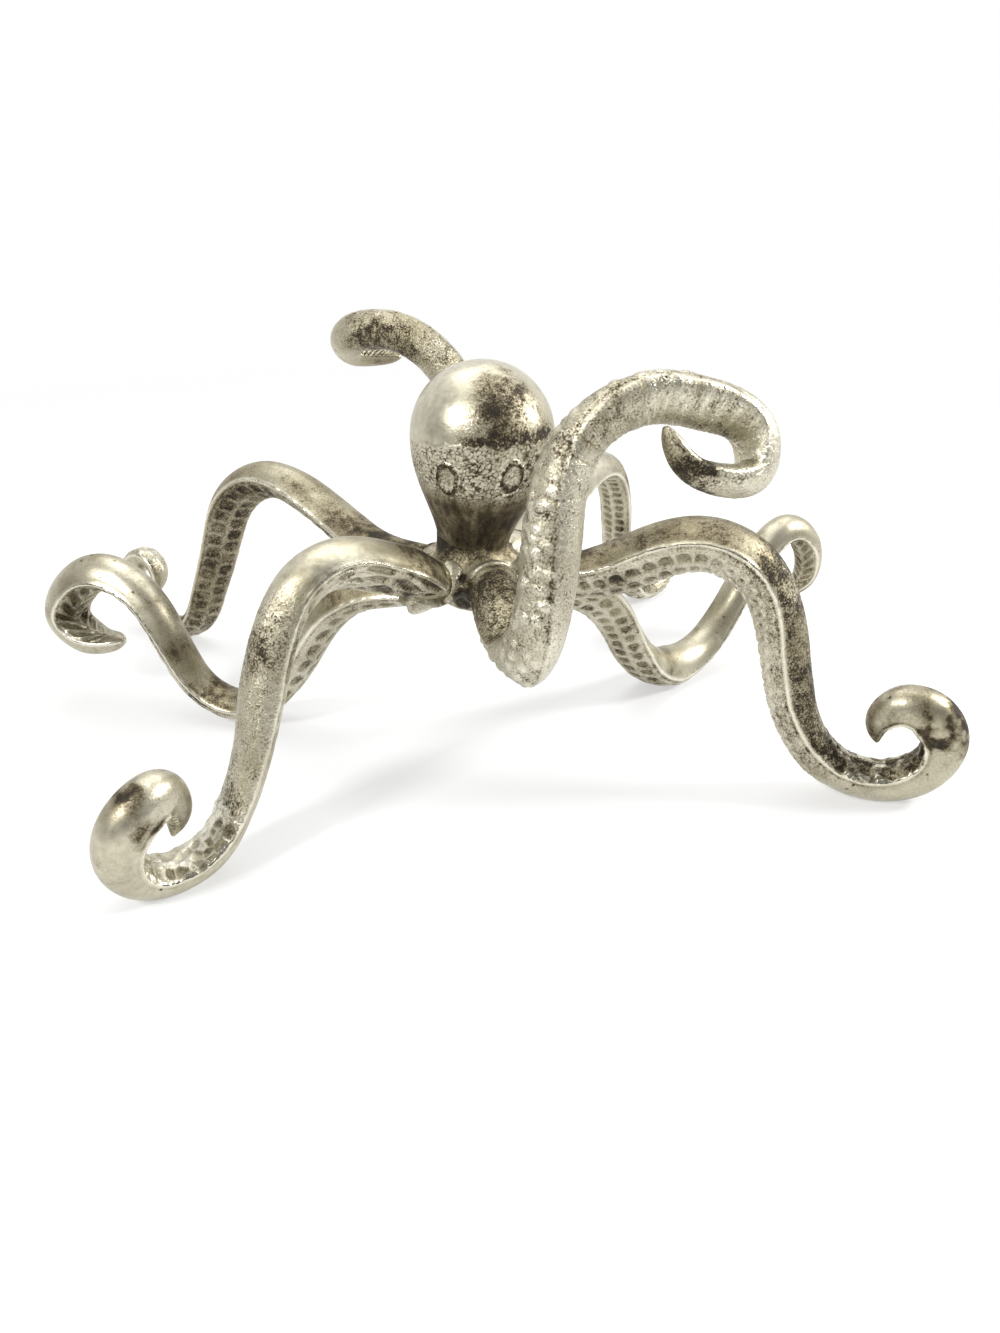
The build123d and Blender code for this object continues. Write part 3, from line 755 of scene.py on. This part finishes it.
def metal_finish(name, crust=0.0):
    """Cast metal with a patina. Colour goes from black through brown and dull to bright metal as
    the patina thins and the polish grows, broken up by noise of three sizes; roughness and bump
    follow the grain."""
    finish = Finish(bpy.data.materials.new(name))
    place = finish.node("ShaderNodeTexCoord").outputs["Object"]
    # the patina trait is mostly patina, but on the head it also holds painted shade at the brow
    # and a painted dark reflection with a painted highlight, and on the front left arm a painted
    # highlight
    patina, polish, grain = (finish.trait(t) for t in ("patina", "polish", "grain"))
    speck = finish.noise(place, SPECKS, detail=5.0, rough=0.62)
    mottle = finish.noise(place, MOTTLES, detail=4.0, rough=0.6)
    cloud = finish.noise(place, CLOUDS, detail=3.0)
    cover = (patina + (speck - 0.5) * (grain * 2.2 + 0.4) + (mottle - 0.5) * (grain + 0.5) * 1.2
             + (cloud - 0.5) * 0.6 + crust).held()
    worn = (polish + (mottle - 0.5) * 0.9 - (speck - 0.5) * grain * 1.2 - cover * 0.25).held()
    metal = finish.mix(worn, DULL_METAL, BRIGHT_METAL)
    browned = finish.mix((cover * 1.9 - 0.5).held(), metal, BROWN_METAL)
    colour = finish.mix((cover * 2.4 - 1.45).held(), browned, BLACK_METAL)
    rough = (0.46 - polish * 0.30 + cover * 0.22 + (speck - 0.5) * 0.25).held()
    height = speck * (grain + 0.1) + mottle * (grain * 0.8 + 0.1)
    bump = finish.node("ShaderNodeBump", Strength=0.6, Distance=0.0006, Height=height)
    shader = finish.node("ShaderNodeBsdfPrincipled", Base_Color=colour, Roughness=rough,
                         Metallic=(1 - cover * 0.35).held(), Normal=bump.outputs["Normal"])
    finish.node("ShaderNodeOutputMaterial", Surface=shader.outputs["BSDF"])
    return finish.owner


cast_metal = metal_finish("cast_metal_patina")
for name in ARM_PLACES:
    arm_piece(name).data.materials.append(cast_metal)


# The hub: a small casting whose eight lobes meet the arms. Its skin is the webbed metal that was
# puddled between the neck and the roots when it was welded together.
HUB_ROUND = 280
HUB_RISE = 150
HUB_RADIUS = 19.0  # the hub's body, mm
HUB_HALF_HEIGHT = 12.2
WELD_GAP = 2.4  # a weld's thickness between a lobe and an arm, mm
WEB_FLARE = 2.3  # how far a lobe's web spreads, over the lobe's own half size
WEB_INSIDE = 0.96  # where it starts to fade, over the same
WEB_REACH = 36.0  # the furthest that a web stands from the hub's middle, mm
LEAST_FACING = 0.2  # a lobe shows only where its cosine to a direction is over this


def root_slice(name, behind):
    """An arm's root slice, set back behind the root by that much: its middle, the directions along
    the arm, across it and out of its back, and its half width, back and belly."""
    centre, along, across, section, _, _ = arm_path(name)
    half, back, belly = section[0, :3] * (ARM_WIDTH / 2, 1, 1)
    normal = np.cross(across[0], along[0])
    middle = centre[0] - along[0] * behind - normal * half * (back - belly) / 2
    return middle, along[0], across[0], normal, half, back, belly


def hub_piece():
    """The hub's grid, over turn and rise about its middle. Along each direction the radius is a
    high-power sum of a rounded drum's and of each lobe's: a lobe reaches the flat seat of its
    weld, and fades outside the seat's outline into a web."""
    turn = np.linspace(0, 2 * np.pi, HUB_ROUND, endpoint=False)
    rise = np.linspace(-np.pi / 2, np.pi / 2, HUB_RISE)[:, None]
    way = np.stack([np.cos(rise) * np.cos(turn), np.cos(rise) * np.sin(turn),
                    np.sin(rise) * np.ones(HUB_ROUND)], axis=-1)
    flat = np.hypot(way[..., 0], way[..., 1])
    drum = 1 / ((flat / HUB_RADIUS) ** 4 + (np.abs(way[..., 2]) / HUB_HALF_HEIGHT) ** 4) ** 0.25
    total = drum ** 6
    for name in ARM_PLACES:
        seat, along, across, normal, half, back, belly = root_slice(name, WELD_GAP)
        seat[2] -= HUB_MIDDLE
        facing = way @ along
        reach = (seat @ along) / np.maximum(facing, LEAST_FACING)
        spot = way * reach[..., None] - seat
        high = spot @ normal
        thick = half * np.where(high > 0, back, belly + 0.35)
        edge = np.hypot(spot @ across / half, high / thick)
        fade = smooth((WEB_FLARE - edge) / (WEB_FLARE - WEB_INSIDE)) * (facing > LEAST_FACING)
        total += (np.minimum(reach, WEB_REACH) * fade) ** 6
    points = way * (total ** (1 / 6))[..., None]
    rough = grain_noise(points, 3.2, 31)
    points = points * (1 + 0.012 * rough + 0.02 * lumps(points, 8.0, 33))[..., None]
    points[..., 2] += HUB_MIDDLE
    patina = 0.38 + 0.3 * grain_noise(points, 9.0, 35) + soot(points)
    points[..., :2] += HUB_SPOT
    polish = 0.5 + 0.3 * lumps(points, 10.0, 37)
    piece = tube_mesh("hub_webbed", points, patina=patina, polish=polish,
                      grain=np.full(patina.shape, 0.4))
    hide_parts("hub")
    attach(piece, "root")
    return piece


hub_piece().data.materials.append(cast_metal)

# The welds: a lumpy bead of filler rod, run by hand round each arm's root and round the neck,
# where it spreads over the roots in webs. Its crust was left dark.
WELD_TURNS = 180
WELD_ROUND = 22
WELD_THICKNESS = 0.9  # a bead's half thickness and half width, mm
WELD_SPREAD = 2.8
WELD_INSET = 0.93  # how far out a bead's middle is, over the root's half size
NECK_SEAT = 104.0  # height of the hub's collar, where the neck's weld sits


def closed_ring(ring):
    """A bead round a closed ring of points: an ellipse carried along the ring, made lumpy."""
    ahead = unit(np.roll(ring, -1, axis=0) - np.roll(ring, 1, axis=0))
    outside = ring - ring.mean(axis=0)
    outside = unit(outside - ahead * np.sum(outside * ahead, axis=1, keepdims=True))
    up = np.cross(ahead, outside)
    angle = np.linspace(0, 2 * np.pi, WELD_ROUND, endpoint=False)[:, None]
    bead = WELD_THICKNESS * (1 + 0.3 * lumps(ring, 5.0, 41) + 0.15 * lumps(ring, 2.2, 43))
    points = ring + (np.cos(angle)[..., None] * outside
                     + WELD_SPREAD / WELD_THICKNESS * np.sin(angle)[..., None] * up) \
        * bead[:, None]
    return points + 0.15 * grain_noise(points, 1.6, 45)[..., None] * outside


def ring_mesh(name, points, **traits):
    """A closed mesh over a grid that is closed round both its indices."""
    rings, round_it = points.shape[:2]
    ring = np.arange(round_it)
    after = np.roll(ring, -1)
    row = round_it * np.arange(rings)[:, None]
    below = np.roll(row, -1, axis=0)
    quads = np.stack([row + ring, below + ring, below + after, row + after],
                     axis=-1).reshape(-1, 4)
    return mesh_piece(name, points.reshape(-1, 3), quads, np.empty((0, 3), int), traits)


weld_crust = metal_finish("weld_crust", crust=0.04)


def bead_piece(name, points, node):
    """One weld's mesh, its crust dark in patches, and brown up the neck."""
    from_axis = points - (*HUB_SPOT, 0.0)
    patina = 0.40 + 0.40 * grain_noise(points, 5.0, 47) + soot(from_axis)
    patina = np.clip(patina + 0.5 * smooth((points[..., 2] - NECK_SEAT) / 6.0), 0, 1)
    piece = ring_mesh(name, points, patina=patina, polish=0.2 * (1 - patina),
                      grain=np.full(patina.shape, 0.4))
    piece.data.materials.append(weld_crust)
    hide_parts(node)
    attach(piece, "root")


for name in ARM_PLACES:
    middle, along, across, normal, half, back, belly = root_slice(name, WELD_GAP / 2)
    angle = np.linspace(0, 2 * np.pi, WELD_TURNS, endpoint=False)[:, None]
    high = np.where(np.sin(angle) > 0, back, belly)
    ring = middle + half * WELD_INSET * (np.cos(angle) * across + high * np.sin(angle) * normal)
    ring[:, :2] += HUB_SPOT
    bead_piece(name + "_weld_bead", closed_ring(ring), name + "_weld")

NECK_WIDTH = 30.6  # mm
NECK_SHIFT = -3.2  # the neck's middle, from the hub's axis, mm
NECK_WEB_TOP = 8.0  # the neck's web over that height, and down between two arms
NECK_WEB_DROP = 8.0
NECK_WEB_FLARE = 4.0  # how far the web spreads by itself, and over an arm's root
ARM_WEB_FLARE = 13.0
LOW_ROOT = 94.0  # an arm whose root's top is lower than this gets no web, mm
HIGH_ROOT = 104.0  # and one that is higher than this gets it all
ROOT_COVER = 4.0  # how far the web comes down over a root, and its half spread there
ROOT_COVER_TURN = 0.36  # in radians
WEB_POINTS = 60


def neck_web():
    """The neck's weld, spread into a skirt: a closed profile carried round the neck. Its outside
    curves out as a power of the way down, further over each arm's root, where it ends on top of
    the root; its inside runs straight back up within the neck."""
    turn = np.linspace(0, 2 * np.pi, WELD_TURNS, endpoint=False)[:, None]
    flare = NECK_WEB_FLARE * np.ones_like(turn)
    low = (NECK_SEAT - NECK_WEB_DROP) * np.ones_like(turn)
    for name, place in ARM_PLACES.items():
        width, back, belly = ARM_ROWS[name][0][3:6]
        top = HUB_MIDDLE + ARM_WIDTH * (place[4] + width * (back + belly) / 4)
        share = np.clip((top - LOW_ROOT) / (HIGH_ROOT - LOW_ROOT), 0, 1)
        apart = np.angle(np.exp(1j * (turn - np.radians(place[0]))))
        near = share * bell(apart / ROOT_COVER_TURN)
        flare += ARM_WEB_FLARE * near
        low += (top - ROOT_COVER - low) * near
    down = np.linspace(0, 1, WEB_POINTS)[None, :]
    outside = NECK_WIDTH / 2 - 0.1 + flare * down ** 2
    web_top = NECK_SEAT + NECK_WEB_TOP
    high = web_top + (low - web_top) * down ** 0.8
    inner = np.full((WELD_TURNS, 2), NECK_WIDTH / 2 - 3.0)
    radius = np.hstack([outside, inner])
    high = np.hstack([high, high[:, -1:] - 2.0, high[:, :1]])
    points = np.stack([radius * np.cos(turn), radius * np.sin(turn), high], axis=-1)
    swell = 0.3 * grain_noise(points, 6.0, 45) * (radius > NECK_WIDTH / 2)
    points[..., :2] *= (1 + swell / radius)[..., None]
    points[..., :2] += (HUB_SPOT[0] + NECK_SHIFT, HUB_SPOT[1])
    return points[:, ::-1]


bead_piece("neck_weld_web", neck_web(), "neck_weld")

# The head: a hollow casting, turned smooth on its dome, with a ragged brow, a coarse band round
# two ringed eyes, and brush marks down to its neck. It is welded on by its neck.
HEAD_ROUND = 300
HEAD_RINGS = 300
HEAD_WIDTH = 59.4  # mm
NECK_LENGTH = 4.0
HEAD_MIDDLE = 50.0  # from the neck's seat to the middle of the dome
CHEEK_POWER = 0.8
HEAD_LEAN = 5.4  # degrees to the right
EYE_BELOW = 11.0  # from the middle of the dome down to the eyes
EYE_TURN = 27.0  # degrees from the middle of the face
EYE_WIDTH = 10.2
EYE_HEIGHT = 14.4
EYE_SKEW = 1.7  # the right eye sits this much higher on the head than the middle
BROW_OVER_EYES = 12.6
BROW_SLOPE = 3.2  # how far the brow climbs to the right, mm for each radian
# The dark patch on the dome is partly patina and partly painted reflection, and the bright spot in
# it is a painted highlight
PATINA_REFLECTION_TURN, PATINA_REFLECTION_RISE = 0.36, 11.0  # the dark patch's middle, radians, and mm over the brow
HIGHLIGHT_TURN, HIGHLIGHT_RISE = 0.80, 8.5  # the middle of the bright spot in it


def head_piece():
    """The head's grid, turn by rise. The profile is the neck's radius, then the cheeks swelling
    with a squared sine of the share of their height, then a circle to the crown; it is turned
    about the axis, moved out by the face's relief, then leaned."""
    neck = NECK_WIDTH / 2
    radius = HEAD_WIDTH / 2
    share = np.linspace(0, 1, 200)
    dome = np.linspace(0, np.pi / 2, 200)[1:]
    outline = np.concatenate([
        [[0.0, WELD_GAP], [neck, WELD_GAP]],
        np.stack([neck + (radius - neck) * np.sin(np.pi / 2 * share ** CHEEK_POWER) ** 2,
                  NECK_LENGTH + (HEAD_MIDDLE - NECK_LENGTH) * share], axis=1),
        np.stack([radius * np.cos(dome), HEAD_MIDDLE + radius * np.sin(dome)], axis=1)])
    far = walked(outline)
    at = np.linspace(0.0, far[-1], HEAD_RINGS)
    out, high = (np.interp(at, far, outline[:, k])[:, None] for k in (0, 1))
    turn = np.linspace(-np.pi, np.pi, HEAD_ROUND, endpoint=False)
    flat = np.stack([out * np.sin(turn), -out * np.cos(turn), high * np.ones(HEAD_ROUND)], axis=-1)
    front = smooth((1.55 - np.abs(turn)) / 0.5) * np.ones_like(high)

    # the bright, turned dome
    fine = grain_noise(flat, 1.3, 51)
    relief = 0.02 * fine + 0.12 * lumps(flat, 17.0, 53)
    patina = 0.16 + 0.16 * grain_noise(flat, 14.0, 55)
    polish = 0.50 + 0.15 * lumps(flat, 18.0, 57)
    grain = np.full(patina.shape, 0.05)
    # the brow, ragged, climbing to the right, with dark crust and painted shade over it on the
    # right, and a painted shadow line at its step
    eye_high = HEAD_MIDDLE - EYE_BELOW
    ragged = 1.5 * lumps(flat * (1, 1, 0), 3.4, 59) + 1.0 * lumps(flat * (1, 1, 0), 1.3, 61)
    brow = eye_high + BROW_OVER_EYES + BROW_SLOPE * turn * front + ragged
    above = high - brow
    righter = smooth((turn + 0.55) / 0.5)
    relief += front * 0.22 * smooth(above / 1.4) * smooth((16 - above) / 14)
    # crust: dark crust and painted shade over the brow's step, from the middle of the face
    # rightwards
    crust = front * righter * bell(np.maximum(above, 0) / 4.5) * smooth(above / 0.8)
    # the thin dark line along the brow is a painted shadow of the step
    patina += crust * (0.62 + 0.5 * fine) + 0.4 * righter * front * bell(above - 0.3)
    relief += 0.25 * crust * fine
    # a dark patch over the brow, partly patina and partly painted dark reflection of the room,
    # with a gap in it where the lamp's highlight falls, left bright as a painted highlight
    patina_and_reflection = front * smooth(above / 2.0) * bell(((turn - PATINA_REFLECTION_TURN) / 0.66) ** 2) \
        * bell(((above - PATINA_REFLECTION_RISE) / 15.0) ** 2)
    painted_highlight = bell((turn - HIGHLIGHT_TURN) / 0.21) * bell((above - HIGHLIGHT_RISE) / 3.8)
    patina += patina_and_reflection * (1 - 0.9 * painted_highlight) * (0.60 + 0.32 * grain_noise(flat, 5.0, 65))
    relief += 0.08 * patina_and_reflection * fine
    grain += 0.5 * patina_and_reflection + 0.6 * crust
    # the crackled band round the eyes
    band = front * smooth(-above / 0.8) * smooth((high - eye_high + 14) / 10)
    _, crease, _ = dimples(flat, 1.7, 63)
    plate = smooth(crease / 0.3)
    relief += band * (0.3 * plate - 0.15)
    patina += band * (0.55 * (1 - plate) + 0.04 + 0.28 * fine)
    polish += band * 0.15
    grain += 0.35 * band
    # brush marks down to the neck
    below = smooth((eye_high - 4 - high) / 12)
    streak = lumps(flat * (1, 1, 0.10), 2.4, 67) + 0.6 * lumps(flat * (1, 1, 0.12), 1.1, 69)
    patina += below * (0.62 + 0.16 * streak)
    relief += below * 0.08 * streak
    polish -= 0.25 * below
    # the eyes: a raised lid, a dark groove inside it, and a ball
    for hand in (-1, 1):
        aside = (turn - hand * np.radians(EYE_TURN)) * out
        rise = high - eye_high - hand * EYE_SKEW
        ring = np.hypot(aside / (EYE_WIDTH / 2), rise / (EYE_HEIGHT / 2)) \
            + 0.05 * lumps(flat, 2.2, 73)
        lid = bell((ring - 1.08) / 0.12)
        groove = bell((ring - 0.82) / 0.16)
        ball = smooth((0.7 - ring) / 0.55)
        clear = smooth((1.0 - ring) / 0.2)
        relief = relief * (1 - 0.6 * clear) + 0.28 * lid - 0.9 * groove + 0.5 * ball
        patina = patina * (1 - 0.3 * clear) + 0.65 * groove * (0.95 + 0.4 * fine) \
            + 0.16 * ball - 0.12 * lid
        polish += 0.25 * lid
    points = flat + outward(flat) * relief[..., None]
    points[0] = [0.0, 0.0, WELD_GAP]
    points[-1] = [0.0, 0.0, HEAD_MIDDLE + radius]
    lean = np.radians(HEAD_LEAN)
    turned = points @ np.array([[np.cos(lean), 0, -np.sin(lean)], [0, 1, 0],
                                [np.sin(lean), 0, np.cos(lean)]])
    turned += [HUB_SPOT[0] + NECK_SHIFT, HUB_SPOT[1], NECK_SEAT]
    piece = tube_mesh("head_cast", turned, patina=patina, polish=polish, grain=grain)
    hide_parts("head")
    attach(piece, "root")
    return piece


head_piece().data.materials.append(cast_metal)

# The white table top under the sculpture, which fades into a white sweep behind it, the soft
# lamps of a small studio, and the camera that looks down at it.
FLOOR_HALF = 6.0  # m
FLOOR_FADE = (0.45, 1.1)  # where the floor fades into the white sweep, from the middle, m
WHITE = (1.0, 1.0, 1.0, 1)
PAPER = (0.85, 0.85, 0.84, 1)

floor_mesh = bpy.data.meshes.new("floor")
floor_mesh.from_pydata([(x * FLOOR_HALF, y * FLOOR_HALF, 0)
                        for x, y in ((-1, -1), (1, -1), (1, 1), (-1, 1))], [], [(0, 1, 2, 3)])
floor = bpy.data.objects.new("floor", floor_mesh)
bpy.context.scene.collection.objects.link(floor)
finish = Finish(bpy.data.materials.new("floor_white"))
seen = (finish.ray("Camera") + finish.ray("Glossy") + finish.ray("Transmission")).held()
place = finish.node("ShaderNodeTexCoord").outputs["Object"]
far = finish.value("ShaderNodeVectorMath", "Value", {"operation": "LENGTH"}, _0=place)
fade = finish.value("ShaderNodeMapRange", "Result", {"interpolation_type": "SMOOTHSTEP"},
                    Value=far, From_Min=FLOOR_FADE[0], From_Max=FLOOR_FADE[1])
glow = (fade * 0.45 + 0.55) * seen
paper = finish.node("ShaderNodeBsdfDiffuse", Color=PAPER)
sweep = finish.node("ShaderNodeEmission", Color=WHITE, Strength=1.0)
both = finish.node("ShaderNodeMixShader", _0=glow, _1=paper.outputs[0], _2=sweep.outputs[0])
finish.node("ShaderNodeOutputMaterial", Surface=both.outputs[0])
floor_mesh.materials.append(finish.owner)

world = bpy.data.worlds.new("studio")
bpy.context.scene.world = world
finish = Finish(world)
seen = finish.ray("Camera")
mirrored = (finish.ray("Glossy") + finish.ray("Transmission")).held()
place = finish.node("ShaderNodeTexCoord").outputs["Generated"]
sweep = (finish.value("ShaderNodeSeparateXYZ", "Y", _0=place) * 1.3 + 0.45).held()
above = finish.value("ShaderNodeSeparateXYZ", "Z", _0=place).held()
room = sweep * 0.70 + above * 0.15 + 0.07
lit = (seen + (1 - seen) * (room * (mirrored * 0.25 + 1))).held()
shader = finish.node("ShaderNodeBackground", Color=WHITE, Strength=lit)
finish.node("ShaderNodeOutputWorld", Surface=shader.outputs[0])

LIT_SPOT = (0.0, -0.05, 0.08)  # where the lamps aim, m
LAMPS = {  # place and half size in m, and power in W
    "softbox_left": ((-0.75, -0.85, 0.95), 0.13, 14.0),
    "softbox_right": ((1.05, -0.05, 0.75), 0.14, 14.0),
    "softbox_top": ((0.0, 0.25, 1.25), 0.60, 9.0),
}
for name, (spot, half, power) in LAMPS.items():
    lamp = bpy.data.lights.new(name, "AREA")
    lamp.shape = "SQUARE"
    lamp.size = 2 * half
    lamp.energy = power
    lamp_object = bpy.data.objects.new(name, lamp)
    aim = np.array(LIT_SPOT) - spot
    lamp_object.rotation_euler = mathutils.Vector(aim).to_track_quat("-Z", "Y").to_euler()
    lamp_object.location = spot
    bpy.context.scene.collection.objects.link(lamp_object)

CAMERA_SPOT = (0.0169, -0.4552, 0.255)
CAMERA_TIP = 27.0  # degrees down from level
camera = bpy.data.cameras.new("camera")
camera.sensor_fit = "VERTICAL"
camera.sensor_height = 36.0
camera.lens = 27.0
camera.clip_start = 0.01
camera_object = bpy.data.objects.new("camera", camera)
camera_object.location = CAMERA_SPOT
camera_object.rotation_euler = (np.radians(90.0 - CAMERA_TIP), 0.0, 0.0)
bpy.context.scene.collection.objects.link(camera_object)
bpy.context.scene.camera = camera_object
bpy.context.scene.view_settings.view_transform = "Standard"
